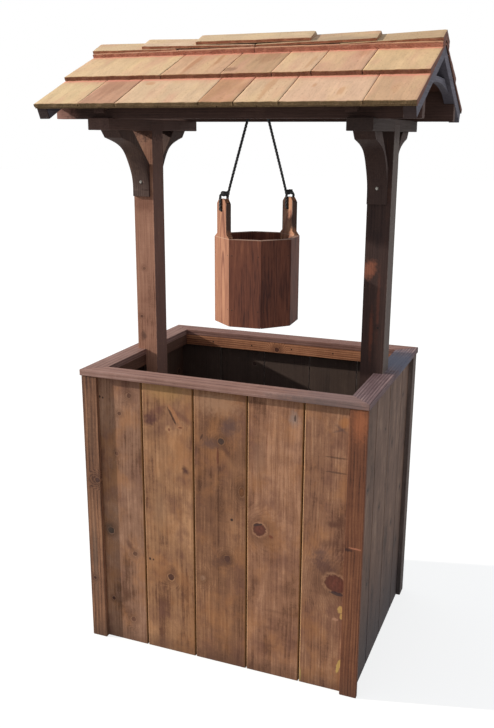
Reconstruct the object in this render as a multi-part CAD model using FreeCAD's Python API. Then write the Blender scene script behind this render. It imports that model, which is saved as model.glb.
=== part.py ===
"""A wishing well planter: a boarded box, two posts, a shingled gable roof and a
wooden bucket on a rope. Millimetres, Z up, the origin on the ground at the
middle of the box, the long side of the roof along X and the front at -Y."""
import FreeCAD, Part
import math
import os

V = FreeCAD.Vector

# Planter box: half sizes to the outer faces of its boards, which stand on the ground.
BOX_X = 432.0
BOX_Y = 324.0
BOARD = 16.0
BOARD_TOP = 892.0
BOARD_GAP = 3.0
EASED = 2.0
FRONT_JOINTS = [-248.8, -78.2, 92.4, 263.0]
SIDE_JOINTS = [-165.0, 8.0, 182.0]

# Trims over the corners, and the flat rail that caps boards and trims.
TRIM = 14.0
FRONT_TRIM_W = 51.0
RAIL_W = 64.0
RAIL = 18.0
RAIL_OVERHANG = 4.0

# Cleats inside the box, and the floor that rests on the middle pair.
CLEAT = 30.0
CLEAT_H = 36.0
BOTTOM_CLEAT_Z = 20.0
FLOOR_CLEAT_Z = 524.0
SLAT = 18.0
SLATS = 6
SLAT_GAP = 8.0

# The roof's apex, from which the heights of all that carries the roof are taken down.
ROOF_Z = 1838.7

# Posts, the beams across their heads, and the curved braces below those. Above its
# straight foot a brace's hollow curve goes through places out from the middle of the
# post and down from the head beam.
POST = 70.0
POST_X = 379.0
HEAD_Y = 292.0
HEAD_DROP = 227.7
HEAD_H = 33.0
CHEEK = 14.0
CHEEK_LAP = 19.0
BRACE_W = 58.0
BRACE_OUT = 223.0
BRACE_H = 201.0
BRACE_FOOT = 18.0
BRACE_FOOT_Y = 42.0
BRACE_CURVE = [(50.0, 131.0), (71.0, 92.0), (99.0, 58.0), (144.0, 36.0), (203.0, 21.0)]
BRACE_EDGE_Y = 136.0
SCREW_DROP = 156.0
SCREW_HEAD_R = 4.5
SCREW_HEAD = 2.5
SCREW_R = 2.25
SCREW_SEAT_Y = 41.5
SCREW_LENGTH = 28.0

# How far a drilled hole runs on past the face it opens in.
PAST = 1.0

# Roof: the plane the shakes lie on falls 25 degrees from the apex line.
PITCH = math.radians(25.0)
ROOF_X = 536.0
BARGE_X = 533.0
RAFTER = 32.0
RAFTER_TAIL = 402.0
ARCH = 20.0
ARCH_TOP_DROP = 47.4
ARCH_CROWN_DROP = 62.4
ARCH_FOOT_Y = 183.0
EAVE_Y = (236.0, 270.0)
EAVE_LET = 2.5
EAVE_X = 531.0
RIDGE_W = 36.0
RIDGE_DROP = 52.7
INNER_RAFTER_X = (346.0, 378.0)
INNER_TAIL_Y = 315.0

# Shakes. A place on the slope is s, down it from the apex, and t, square out of it.
SHAKE_GAP = 2.4
STARTER_LINE = ((180.0, 0.0), (404.0, 0.0), (404.0, 5.0), (180.0, 1.7))
LOWER_LINE = ((60.0, 0.1), (406.0, 5.1), (406.0, 14.5), (60.0, 2.3))
UPPER_LINE = ((6.0, 0.35), (227.0, 8.4), (227.0, 20.3), (6.0, 7.5))
STARTER_JOINTS = [-330.0, -150.0, 20.0, 130.0, 310.0]
LOWER_JOINTS = [-393.1, -278.0, -31.6, 66.8, 189.4, 405.5]
UPPER_JOINTS = [-220.3, -37.3, 111.0, 222.5, 360.3]

# Ridge covering: how far down the slope a piece reaches, and at each of its ends
# along X the t of its underside and of its top.
RIDGE_BASE_S = 48.0
RIDGE_BASE = [((-ROOF_X, 10.1, 20.0), (-1.0, 10.1, 24.0)), ((1.0, 10.1, 24.0), (ROOF_X, 10.1, 24.2))]
RIDGE_CAPS = [
    (43.0, (-ROOF_X, 20.1, 29.3), (-250.0, 22.4, 26.5)),
    (39.0, (-365.0, 27.7, 37.2), (-1.5, 24.6, 29.4)),
    (33.0, (-187.0, 33.5, 42.7), (167.0, 33.5, 42.7)),
    (39.0, (1.5, 24.5, 29.9), (356.0, 28.3, 37.1)),
    (43.0, (250.0, 24.3, 24.9), (ROOF_X, 24.3, 33.8)),
]

# Bucket: an octagon of staves round the Z axis, two of them carried up as ears,
# whose shoulders, corners, top and rope hole are measured up from the rim.
BUCKET_R = 132.0
BUCKET_Z = 1035.0
BUCKET_H = 265.0
BUCKET_FLOOR = 10.0
STAVE = 16.0
STAVE_GAP = 0.6
EAR_DIRECTION = 229.0
EAR_HALF = 32.0
EAR_SHOULDER = 12.0
EAR_CORNER = 102.0
EAR_TOP_HALF = 18.0
EAR_TOP = 115.0
HOLE_UP = 81.0
HOLE_R = 4.6

# Rope, its two knots, and the hook it hangs on, which is set a little off the
# middle of the roof, towards the left ear. The loop through an ear is measured up
# from its hole, and the bight on the hook down from the ridge beam.
HANG = 6.0
ROPE_R = 4.0
CLEAR = 0.3
LEG_UP = 46.0
LOOP_STRAIGHT = 36.0
LOOP_END_UP = 50.5
LOOP_END_W = -1.2
KNOT_R = 11.0
KNOT_W = -5.5
BIGHT_DROP = 46.0
HOOK_R = 3.0
HOOK_BEND = 13.0
HOOK_SHANK = 34.0
HOOK_TIP = 5.0

RAIL_X = BOX_X + TRIM + RAIL_OVERHANG
RAIL_Y = BOX_Y + TRIM + RAIL_OVERHANG
RAIL_TOP = BOARD_TOP + RAIL
INNER_X = BOX_X - BOARD
INNER_Y = BOX_Y - BOARD
FLOOR_Z = FLOOR_CLEAT_Z + CLEAT_H + SLAT
HEAD_Z = ROOF_Z - HEAD_DROP
HEAD_TOP = HEAD_Z + HEAD_H
BRACE_FOOT_Z = HEAD_Z - BRACE_H
SCREW_Z = HEAD_Z - SCREW_DROP
EAVE_Z = HEAD_TOP - EAVE_LET
RIDGE_Z = ROOF_Z - RIDGE_DROP
GABLE_X = BARGE_X - RAFTER
RIM_Z = BUCKET_Z + BUCKET_H
EAR_TOP_Z = RIM_Z + EAR_TOP
HOLE_Z = RIM_Z + HOLE_UP
LEG_Z = HOLE_Z + LEG_UP
LOOP_STRAIGHT_Z = HOLE_Z + LOOP_STRAIGHT
LOOP_END_Z = HOLE_Z + LOOP_END_UP
BIGHT_Z = RIDGE_Z - BIGHT_DROP

os.makedirs("parts", exist_ok=True)


def export(name, solids):
    for solid in solids:
        if not solid.isValid() or solid.Volume <= 0:
            raise ValueError(name)
    shape = solids[0] if len(solids) == 1 else Part.makeCompound(solids)
    shape.exportStep("parts/" + name + ".step")
    print(name, len(solids))


def extrude(points, along):
    """A flat outline carried along a vector."""
    solid = Part.Face(Part.makePolygon(points + [points[0]])).extrude(along)
    if solid.Volume < 0:
        solid.reverse()
    return solid


def block(x0, x1, y0, y1, z0, z1):
    low = V(min(x0, x1), min(y0, y1), min(z0, z1))
    return Part.makeBox(abs(x1 - x0), abs(y1 - y0), abs(z1 - z0), low)


def prism_x(outline, x0, x1):
    """An outline of (y, z) points between two places along X."""
    return extrude([V(x0, y, z) for y, z in outline], V(x1 - x0, 0, 0))


def prism_z(outline, z0, z1):
    return extrude([V(x, y, z0) for x, y in outline], V(0, 0, z1 - z0))


def hexahedron(corners):
    """Eight corners: four round one end, then the four that face them."""
    a, b, c, d, e, f, g, h = corners
    rounds = [(a, b, c, d), (e, f, g, h), (a, b, f, e), (b, c, g, f), (c, d, h, g), (d, a, e, h)]
    faces = [Part.Face(Part.makePolygon(list(r) + [r[0]])) for r in rounds]
    solid = Part.Solid(Part.Shell(faces))
    if solid.Volume < 0:
        solid.reverse()
    return solid


def cylinder(start, end, radius):
    return Part.makeCylinder(radius, (end - start).Length, start, end - start)


def slope(s, t, side):
    """The (y, z) of a place on the roof; side is -1 in front and 1 behind."""
    y = s * math.cos(PITCH) + t * math.sin(PITCH)
    return side * y, ROOF_Z - s * math.sin(PITCH) + t * math.cos(PITCH)


def spans(joints, low, high, gap):
    """The stretches between joints, with half a gap off each side of a joint."""
    edges = [low] + sorted(joints) + [high]
    stretches = []
    for index in range(len(edges) - 1):
        start = edges[index] + (gap / 2 if index > 0 else 0)
        end = edges[index + 1] - (gap / 2 if index < len(edges) - 2 else 0)
        stretches.append((start, end))
    return stretches


def board(a0, a1, outer, inner, across):
    """An upright board between a0 and a1, its outer upright edges eased."""
    back = outer + EASED * (1 if inner > outer else -1)
    outline = [(a0, inner), (a1, inner), (a1, back), (a1 - EASED, outer), (a0 + EASED, outer), (a0, back)]
    if across == "y":
        outline = [(b, a) for a, b in outline]
    return prism_z(outline, 0, BOARD_TOP)


# The front and back boards cover the ends of the side boards.
front_spans = spans(FRONT_JOINTS, -BOX_X, BOX_X, BOARD_GAP)
for number, (x0, x1) in enumerate(front_spans):
    export("front_board_%d" % (number + 1), [board(x0, x1, -BOX_Y, -INNER_Y, "x")])
export("back_boards", [board(-x1, -x0, BOX_Y, INNER_Y, "x") for x0, x1 in front_spans])

side_spans = spans(SIDE_JOINTS, -INNER_Y, INNER_Y, BOARD_GAP)
for number, (y0, y1) in enumerate(side_spans):
    export("right_board_%d" % (number + 1), [board(y0, y1, BOX_X, INNER_X, "y")])
export("left_boards", [board(y0, y1, -BOX_X, -INNER_X, "y") for y0, y1 in side_spans])

# A front trim stands past the box's side by its own thickness. At the rear
# corners the side trims cover the edges of the back trims.
trim_x = BOX_X + TRIM
trim_y = BOX_Y + TRIM
for side, name in ((-1, "left"), (1, "right")):
    front = block(side * (trim_x - FRONT_TRIM_W), side * trim_x, -trim_y, -BOX_Y, 0, BOARD_TOP)
    export("front_trim_" + name, [front])
side_trims = []
back_trims = []
for side in (-1, 1):
    side_trims.append(block(side * BOX_X, side * trim_x, trim_y - FRONT_TRIM_W, trim_y, 0, BOARD_TOP))
    back_trims.append(block(side * (BOX_X - FRONT_TRIM_W), side * BOX_X, BOX_Y, trim_y, 0, BOARD_TOP))
export("side_trims", side_trims)
export("back_trims", back_trims)

# The cap rails meet in mitres at the four corners.
hole_x = RAIL_X - RAIL_W
hole_y = RAIL_Y - RAIL_W
for side, name in ((-1, "front"), (1, "back")):
    outline = [(-RAIL_X, side * RAIL_Y), (RAIL_X, side * RAIL_Y)]
    outline += [(hole_x, side * hole_y), (-hole_x, side * hole_y)]
    export("cap_rail_" + name, [prism_z(outline, BOARD_TOP, RAIL_TOP)])
for side, name in ((-1, "left"), (1, "right")):
    outline = [(side * RAIL_X, -RAIL_Y), (side * RAIL_X, RAIL_Y)]
    outline += [(side * hole_x, hole_y), (side * hole_x, -hole_y)]
    export("cap_rail_" + name, [prism_z(outline, BOARD_TOP, RAIL_TOP)])


def cleat_ring(z0):
    """Four cleats round the inside of the boards: front, back, left and right."""
    ring = []
    for side in (-1, 1):
        ring.append(block(-INNER_X, INNER_X, side * INNER_Y, side * (INNER_Y - CLEAT), z0, z0 + CLEAT_H))
    for side in (-1, 1):
        y = INNER_Y - CLEAT
        ring.append(block(side * INNER_X, side * (INNER_X - CLEAT), -y, y, z0, z0 + CLEAT_H))
    return ring


for name, cleat in zip(("front", "back", "left", "right"), cleat_ring(BOARD_TOP - CLEAT_H)):
    export("top_cleat_" + name, [cleat])
export("bottom_cleats", cleat_ring(BOTTOM_CLEAT_Z))
export("floor_cleats", cleat_ring(FLOOR_CLEAT_Z)[2:])

# Slats with drain gaps lie across the floor cleats.
slat_pitch = 2 * INNER_Y / SLATS
slats = []
for number in range(SLATS):
    y0 = -INNER_Y + number * slat_pitch + SLAT_GAP / 2
    slats.append(block(-INNER_X, INNER_X, y0, y0 + slat_pitch - SLAT_GAP, FLOOR_Z - SLAT, FLOOR_Z))
export("floor_slats", slats)

# A post's outer part stands on the cap rail and its inner part runs down past
# the rail to the floor. Two cheeks at its top lap the sides of the head beam.
half = POST / 2
for side, name in ((-1, "left"), (1, "right")):
    inner = side * (POST_X - half)
    outer = side * (POST_X + half)
    post = block(inner, outer, -half, half, RAIL_TOP, HEAD_Z)
    post = post.fuse(block(inner, side * hole_x, -half, half, FLOOR_Z, RAIL_TOP))
    cheeks = [
        block(inner, inner + side * CHEEK, -half, half, HEAD_Z, HEAD_Z + CHEEK_LAP),
        block(outer, outer - side * CHEEK, -half, half, HEAD_Z, HEAD_Z + CHEEK_LAP),
    ]
    beam = block(inner, outer, -HEAD_Y, HEAD_Y, HEAD_Z, HEAD_TOP)
    for cheek in cheeks:
        post = post.fuse(cheek)
        beam = beam.cut(cheek)
    brace_x = side * POST_X - half
    screw_x = brace_x + BRACE_W / 2
    for end in (-1, 1):
        start = V(screw_x, end * (SCREW_SEAT_Y - SCREW_LENGTH - PAST), SCREW_Z)
        post = post.cut(cylinder(start, V(screw_x, end * BRACE_OUT, SCREW_Z), SCREW_R + CLEAR))
    export("post_" + name, [post.removeSplitter().Solids[0]])
    export("head_beam_" + name, [beam])

# A brace is flush with its post's left face. Its outer side is a hollow curve
# and its inner edge is straight, so a corner stays open behind it.
brace_curve = [(BRACE_FOOT_Y, BRACE_FOOT_Z + BRACE_FOOT)] + [(y, HEAD_Z - drop) for y, drop in BRACE_CURVE]
screws = []
for side, name in ((-1, "left"), (1, "right")):
    x0 = side * POST_X - half
    screw_x = x0 + BRACE_W / 2
    for end, place in ((-1, "front"), (1, "back")):
        curve = Part.BSplineCurve()
        curve.interpolate([V(x0, end * y, z) for y, z in brace_curve])
        corners = [
            brace_curve[-1],
            (BRACE_OUT, HEAD_Z),
            (BRACE_EDGE_Y, HEAD_Z),
            (half, HEAD_Z - (BRACE_EDGE_Y - half)),
            (half, BRACE_FOOT_Z),
            (BRACE_FOOT_Y, BRACE_FOOT_Z),
            brace_curve[0],
        ]
        straight = Part.makePolygon([V(x0, end * y, z) for y, z in corners])
        outline = Part.Wire(Part.__sortEdges__([curve.toShape()] + straight.Edges))
        brace = Part.Face(outline).extrude(V(BRACE_W, 0, 0))
        if brace.Volume < 0:
            brace.reverse()
        seat = V(screw_x, end * SCREW_SEAT_Y, SCREW_Z)
        out = V(0, end, 0)
        shank = cylinder(seat - out * SCREW_LENGTH, seat, SCREW_R)
        screws.append(shank.fuse(cylinder(seat, seat + out * SCREW_HEAD, SCREW_HEAD_R)).Solids[0])
        brace = brace.cut(cylinder(seat - out * half, seat + out, SCREW_R + CLEAR))
        brace = brace.cut(cylinder(seat, seat + out * half, SCREW_HEAD_R + CLEAR))
        export("brace_%s_%s" % (name, place), [brace.Solids[0]])
export("brace_screws", screws)

# The eave beams are let in over the head beams. They are bevelled to the shakes
# between the barge rafters, and run out below the rafters at both ends. The inner
# rafters stand over the head beams, let into the eave beams, with their tails showing.
fall = math.tan(PITCH)
deep = RAFTER / math.cos(PITCH)
inner_rafters = {-1: [], 1: []}
for side, name in ((-1, "front"), (1, "back")):
    y0, y1 = EAVE_Y
    tall = [(y0, EAVE_Z), (y1, EAVE_Z), (y1, ROOF_Z - y1 * fall), (y0, ROOF_Z - y0 * fall)]
    low = [(y0, EAVE_Z), (y1, EAVE_Z), (y1, ROOF_Z - deep - y1 * fall), (y0, ROOF_Z - deep - y0 * fall)]
    beam = prism_x([(side * y, z) for y, z in tall], -GABLE_X, GABLE_X)
    for end in (-1, 1):
        beam = beam.fuse(prism_x([(side * y, z) for y, z in low], end * GABLE_X, end * EAVE_X))
    head_y = RIDGE_W / 2
    rafter_line = [(head_y, ROOF_Z - head_y * fall), (INNER_TAIL_Y, ROOF_Z - INNER_TAIL_Y * fall)]
    rafter_line += [(y, z - deep) for y, z in reversed(rafter_line)]
    for end in (-1, 1):
        near, far = INNER_RAFTER_X
        rafter = prism_x([(side * y, z) for y, z in rafter_line], end * near, end * far)
        inner_rafters[end].append(rafter)
        beam = beam.cut(rafter)
        near, far = POST_X - half, POST_X + half
        beam = beam.cut(block(end * near, end * far, -HEAD_Y, HEAD_Y, HEAD_Z, HEAD_TOP))
    export("eave_beam_" + name, [beam.removeSplitter().Solids[0]])
for end, place in ((-1, "left"), (1, "right")):
    export("inner_rafters_" + place, inner_rafters[end])

# The barge rafters meet in a plumb cut at the apex and are cut square at the eave.
for end, place in ((-1, "left"), (1, "right")):
    for side, name in ((-1, "front"), (1, "back")):
        outline = [(0, ROOF_Z), slope(RAFTER_TAIL, 0, side), slope(RAFTER_TAIL, -RAFTER, side)]
        outline.append((0, ROOF_Z - deep))
        export("barge_%s_%s" % (place, name), [prism_x(outline, end * GABLE_X, end * BARGE_X)])

# The collar under each pair is arched below and fits the slope of the rafters above.
under_z = ROOF_Z - deep
foot_z = under_z - ARCH_FOOT_Y * math.tan(PITCH)
top_z = under_z - ARCH_TOP_DROP
top_y = ARCH_TOP_DROP / math.tan(PITCH)
crown = under_z - ARCH_CROWN_DROP
for end, place in ((-1, "left"), (1, "right")):
    x = end * GABLE_X
    points = [(-ARCH_FOOT_Y, foot_z), (-top_y, top_z), (top_y, top_z), (ARCH_FOOT_Y, foot_z)]
    straight = Part.makePolygon([V(x, y, z) for y, z in points])
    arch = Part.Arc(V(x, -ARCH_FOOT_Y, foot_z), V(x, 0, crown), V(x, ARCH_FOOT_Y, foot_z))
    outline = Part.Wire(Part.__sortEdges__([arch.toShape()] + straight.Edges))
    collar = Part.Face(outline).extrude(V(end * ARCH, 0, 0))
    if collar.Volume < 0:
        collar.reverse()
    export("gable_arch_" + place, [collar])


# Shakes in two courses on each slope, the lower course over a starter layer.
def course(line, joints, side):
    """The shakes of one course; the back slope has the front's joints turned about."""
    outline = [slope(s, t, side) for s, t in line]
    stretches = spans(joints, -ROOF_X, ROOF_X, SHAKE_GAP)
    if side > 0:
        stretches = [(-x1, -x0) for x0, x1 in stretches]
    return [prism_x(outline, x0, x1) for x0, x1 in stretches]


for side, name in ((-1, "front"), (1, "back")):
    lower = course(STARTER_LINE, STARTER_JOINTS, side) + course(LOWER_LINE, LOWER_JOINTS, side)
    export("shakes_lower_" + name, lower)
    export("shakes_upper_" + name, course(UPPER_LINE, UPPER_JOINTS, side))


# The ridge pieces come in pairs, front and back, that meet on the apex line.
def ridge_piece(first, last, edge_s, side):
    corners = []
    for x, under, top in (first, last):
        places = [(edge_s, under), (edge_s, top)]
        places += [(-t * math.tan(PITCH), t) for t in (top, under)]
        for s, t in places:
            y, z = slope(s, t, side)
            corners.append(V(x, y, z))
    return hexahedron(corners)


starters = [ridge_piece(a, b, RIDGE_BASE_S, side) for a, b in RIDGE_BASE for side in (-1, 1)]
export("ridge_starters", starters)
export("ridge_caps", [ridge_piece(a, b, s, side) for s, a, b in RIDGE_CAPS for side in (-1, 1)])

# Rope hook: a bend whose plane is square to the line through the bucket's ears,
# with the shank up one side of it into the ridge beam.
ear = V(math.cos(math.radians(EAR_DIRECTION)), math.sin(math.radians(EAR_DIRECTION)), 0)
swing = V(-ear.y, ear.x, 0)
up = V(0, 0, 1)
bight_r = ROPE_R + HOOK_R + CLEAR
bend_z = BIGHT_Z - bight_r + HOOK_BEND
hang = ear * HANG
bend = hang + up * bend_z
shank_foot = bend - swing * HOOK_BEND
shank_top = V(shank_foot.x, shank_foot.y, RIDGE_Z + HOOK_SHANK)
tip_foot = bend + swing * HOOK_BEND
wire = Part.Face(Part.Wire(Part.makeCircle(HOOK_R, shank_foot, up)))
hook = wire.revolve(bend, ear, 180)
if abs(hook.CenterOfMass.z - bend_z) < 1 or hook.CenterOfMass.z > bend_z:
    hook = wire.revolve(bend, ear, -180)
if hook.Volume < 0:
    hook.reverse()
hook = hook.fuse(cylinder(shank_foot, shank_top, HOOK_R))
hook = hook.fuse(cylinder(tip_foot, tip_foot + up * HOOK_TIP, HOOK_R))
export("rope_hook", [hook.removeSplitter().Solids[0]])

ridge_outline = [(-RIDGE_W / 2, RIDGE_Z), (RIDGE_W / 2, RIDGE_Z)]
ridge_outline.append((RIDGE_W / 2, ROOF_Z - RIDGE_W / 2 * math.tan(PITCH)))
ridge_outline.append((0, ROOF_Z))
ridge_outline.append((-RIDGE_W / 2, ROOF_Z - RIDGE_W / 2 * math.tan(PITCH)))
ridge = prism_x(ridge_outline, -GABLE_X, GABLE_X)
ridge = ridge.cut(cylinder(shank_foot, shank_top + up, HOOK_R + CLEAR))
export("ridge_beam", [ridge.Solids[0]])


# Bucket staves: w runs out from the bucket's axis, v along the stave. Two of
# them, facing each other, are the ears.
EARS = (0, 4)


def bucket_point(number, w, v, z):
    angle = math.radians(EAR_DIRECTION + 45.0 * number)
    out = V(math.cos(angle), math.sin(angle), 0)
    along = V(-out.y, out.x, 0)
    return hang + out * w + along * v + up * z


outer_w = BUCKET_R * math.cos(math.pi / 8)
inner_w = outer_w - STAVE
ear_w = outer_w - STAVE / 2
mitre = math.tan(math.pi / 8)
staves = []
for number in range(8):
    top = EAR_TOP_Z if number in EARS else RIM_Z
    plan = []
    for w, hand in ((inner_w, -1), (inner_w, 1), (outer_w, 1), (outer_w, -1)):
        plan.append(bucket_point(number, w, hand * (w * mitre - STAVE_GAP / 2), BUCKET_Z))
    stave = extrude(plan, up * (top - BUCKET_Z))
    if number not in EARS:
        staves.append(stave)
        continue
    wide = outer_w * mitre
    half_outline = [(BUCKET_R, BUCKET_Z), (BUCKET_R, RIM_Z), (wide, RIM_Z), (EAR_HALF, RIM_Z + EAR_SHOULDER)]
    half_outline += [(EAR_HALF, RIM_Z + EAR_CORNER), (EAR_TOP_HALF, EAR_TOP_Z)]
    outline = half_outline + [(-v, z) for v, z in reversed(half_outline)]
    start = bucket_point(number, 0, 0, 0)
    out = bucket_point(number, 1, 0, 0) - start
    shape = extrude([bucket_point(number, inner_w, v, z) for v, z in outline], out * STAVE)
    stave = stave.common(shape)
    hole = start + out * (inner_w - PAST) + up * HOLE_Z
    stave = stave.cut(cylinder(hole, hole + out * (STAVE + 2 * PAST), HOLE_R))
    export("ear_stave_left" if number == 0 else "ear_stave_right", [stave.Solids[0]])
export("bucket_staves", staves)

plate_w = inner_w - CLEAR
plate_r = plate_w / math.cos(math.pi / 8)
plate = [bucket_point(number + 0.5, plate_r, 0, BUCKET_Z + BUCKET_FLOOR) for number in range(8)]
export("bucket_bottom", [extrude(plate, up * STAVE)])


# Rope: straight runs joined by arcs that touch both runs.
def cord(points, radius):
    """A round tube along the points, and the length of its centre line."""
    shapes = []
    length = 0
    radii = []
    start = points[0]
    for index in range(1, len(points) - 1):
        corner = points[index]
        back = points[index - 1] - corner
        on = points[index + 1] - corner
        turn = math.pi - back.getAngle(on)
        if turn < 1e-6:
            continue
        reach = 0.45 * min(back.Length, on.Length)
        arc_r = reach / math.tan(turn / 2)
        radii.append(round(arc_r, 1))
        enter = corner + back / back.Length * reach
        leave = corner + on / on.Length * reach
        toward = back / back.Length + on / on.Length
        centre = corner + toward / toward.Length * (arc_r / math.cos(turn / 2))
        shapes.append(cylinder(start, enter, radius))
        length += (enter - start).Length + arc_r * turn
        axis = (enter - centre).cross(leave - centre)
        section = Part.Face(Part.Wire(Part.makeCircle(radius, enter, back)))
        bend_solid = section.revolve(centre, axis, math.degrees(turn))
        if bend_solid.Volume < 0:
            bend_solid.reverse()
        shapes.append(bend_solid)
        start = leave
    shapes.append(cylinder(start, points[-1], radius))
    length += (points[-1] - start).Length
    tube = shapes[0].multiFuse(shapes[1:])
    print("arc radii", radii)
    print("volume over section times length", tube.Volume / (math.pi * radius ** 2 * length))
    return tube


strand = STAVE / 2 + CLEAR + ROPE_R
leg_w = ear_w - strand
corner_w = bight_r * math.tan(math.atan2(BIGHT_Z - LEG_Z, leg_w) / 2) / 0.9
loop = [
    (ear_w + LOOP_END_W, LOOP_END_Z),
    (ear_w + strand, LEG_Z),
    (ear_w + strand, LOOP_STRAIGHT_Z),
    (ear_w + strand, HOLE_Z),
    (ear_w, HOLE_Z),
    (leg_w, HOLE_Z),
    (leg_w, LOOP_STRAIGHT_Z),
    (leg_w, LEG_Z),
    (corner_w, BIGHT_Z),
]
route = [hang + ear * w + up * z for w, z in loop]
route += [hang + ear * -w + up * z for w, z in reversed(loop)]
print("rope route", [(round(p.x, 2), round(p.y, 2), round(p.z, 2)) for p in route])
export("rope", [cord(route, ROPE_R).Solids[0]])

sleeve_end = ear_w + LOOP_END_W - CLEAR
sleeve = [hang + ear * sleeve_end + up * LOOP_END_Z] + route[1:-1]
sleeve.append(hang - ear * sleeve_end + up * LOOP_END_Z)
room = cord(sleeve, ROPE_R + CLEAR)
knots = []
for hand in (1, -1):
    centre = hang + ear * (hand * (ear_w + KNOT_W)) + up * LOOP_END_Z
    knot = Part.makeSphere(KNOT_R, centre).cut(room)
    knots.append(max(knot.Solids, key=lambda solid: solid.Volume))
export("rope_knots", knots)
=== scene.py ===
import bpy, math
import numpy as np
from mathutils import Matrix, Vector


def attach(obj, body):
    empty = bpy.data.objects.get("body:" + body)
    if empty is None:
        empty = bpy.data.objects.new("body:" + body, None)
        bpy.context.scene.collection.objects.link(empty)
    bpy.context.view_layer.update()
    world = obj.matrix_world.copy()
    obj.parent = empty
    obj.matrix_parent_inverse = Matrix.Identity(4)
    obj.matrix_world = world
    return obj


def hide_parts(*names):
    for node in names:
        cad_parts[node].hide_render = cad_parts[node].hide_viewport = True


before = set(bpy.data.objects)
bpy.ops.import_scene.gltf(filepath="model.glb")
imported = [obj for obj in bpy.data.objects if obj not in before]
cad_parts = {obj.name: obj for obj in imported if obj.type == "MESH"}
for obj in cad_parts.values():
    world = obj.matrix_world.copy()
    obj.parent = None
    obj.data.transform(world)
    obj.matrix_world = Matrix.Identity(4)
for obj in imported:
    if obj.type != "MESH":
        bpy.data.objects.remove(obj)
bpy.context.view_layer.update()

# Camera. The photograph was taken at a standing person's eye height, a little to
# the right of the well's front, looking slightly down at the bucket.
EYE = (0.9309, -2.4429, 1.5996)
LENS = 41.66
view_dir = Vector((-0.35563, 0.89706, -0.26233)).normalized()
level_right = Vector((0.92909, 0.36982, 0.00511))
view_right = (level_right - view_dir * level_right.dot(view_dir)).normalized()
view_up = view_right.cross(view_dir)
camera_data = bpy.data.cameras.new("photo_camera")
camera_data.sensor_width = 36.0
camera_data.lens = LENS
camera = bpy.data.objects.new("photo_camera", camera_data)
bpy.context.collection.objects.link(camera)
turn = Matrix((view_right, view_up, -view_dir)).transposed().to_4x4()
camera.matrix_world = Matrix.Translation(EYE) @ turn
bpy.context.scene.camera = camera

# Front boards. Five rough-sawn softwood boards, stained a warm brown, stand side by
# side on the ground and are nailed to the cleats behind them. Sun and rain have let
# the knots, resin and old smears show through the stain.
def linear(red, green, blue):
    """A colour written as 0 to 255 screen values, as the renderer's light values."""
    levels = [value / 255 for value in (red, green, blue)]
    return tuple(c / 12.92 if c < 0.0405 else ((c + 0.055) / 1.055) ** 2.4 for c in levels) + (1.0,)


def new_node(tree, kind, plugs=(), **settings):
    """A node in the tree, its inputs filled with sockets to link from or constants."""
    node = tree.nodes.new("ShaderNode" + kind)
    for key, value in settings.items():
        setattr(node, key, value)
    for socket, value in dict(plugs).items():
        if isinstance(value, bpy.types.NodeSocket):
            tree.links.new(value, node.inputs[socket])
        else:
            node.inputs[socket].default_value = value
    return node


class Finish:
    """A material being built, with short names for the nodes that it's made of."""

    def __init__(self, name):
        self.material = bpy.data.materials.new(name)
        self.material.use_nodes = True
        self.material.node_tree.nodes.clear()
        self.place = self.add("TexCoord").outputs["Object"]

    def add(self, kind, plugs=(), **settings):
        return new_node(self.material.node_tree, kind, plugs, **settings)

    def calc(self, operation, a, b=0.0, c=0.0):
        return self.add("Math", {0: a, 1: b, 2: c}, operation=operation).outputs[0]

    def vector(self, operation, a, b=(0, 0, 0)):
        """What the operation makes of two vectors, or the length of one."""
        node = self.add("VectorMath", {0: a, 1: b}, operation=operation)
        return node.outputs["Value" if operation == "LENGTH" else "Vector"]

    def parts(self, vector):
        """The vector's x, y and z."""
        return self.add("SeparateXYZ", {0: vector}).outputs

    def blend(self, amount, first, second, kind="MIX"):
        node = self.add("Mix", {0: amount, 6: first, 7: second}, data_type="RGBA", blend_type=kind)
        return node.outputs[2]

    def step(self, value, low, high, start=0.0, end=1.0):
        """A soft step from start at low to end at high."""
        plugs = {0: value, 1: low, 2: high, 3: start, 4: end}
        return self.add("MapRange", plugs, interpolation_type="SMOOTHSTEP").outputs[0]

    def noise(self, place, scale, detail=2.0, roughness=0.5, output=0):
        """Noise at a scale given for each axis; 0.5 on average."""
        spread = self.vector("MULTIPLY", place, scale)
        plugs = {"Vector": spread, "Scale": 1.0, "Detail": detail, "Roughness": roughness}
        return self.add("TexNoise", plugs).outputs[output]

    def vary(self, tone, *shares):
        """The tone with each (pattern, amount) added; a pattern is 0.5 on average."""
        for pattern, amount in shares:
            tone = self.calc("MULTIPLY_ADD", self.calc("SUBTRACT", pattern, 0.5), amount, tone)
        return tone

    def swayed(self, lay, scale, amount):
        """The place, moved by slow noise, up to half the amount each way."""
        drift = self.vector("SUBTRACT", self.noise(lay, scale, output=1), (0.5, 0.5, 0.5))
        return self.vector("ADD", lay, self.vector("MULTIPLY", drift, amount))

    def late_wood(self, distance, spacing, full):
        """The dark last part of each growth ring: a ring is distance over spacing."""
        phase = self.calc("FRACT", self.calc("DIVIDE", distance, spacing))
        return self.calc("MULTIPLY", self.step(phase, 0.3, full), self.step(phase, 0.9, 1.0, 1.0, 0.0))

    def close(self, colour, rough, height, strength, relief, specular=0.5, metallic=0.0):
        """Ends the tree in a shader with a bump, and gives back the material."""
        bump = self.add("Bump", {"Height": height, "Strength": strength, "Distance": relief})
        shader = self.add("BsdfPrincipled", {
            "Base Color": colour, "Roughness": rough, "Metallic": metallic,
            "Specular IOR Level": specular, "Normal": bump.outputs[0]})
        self.add("OutputMaterial", {0: shader.outputs[0]})
        return self.material


GRAIN_TURN = {"x": (0, 0, 0), "y": (0, 0, -math.pi / 2), "z": (0, math.pi / 2, 0)}


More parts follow.
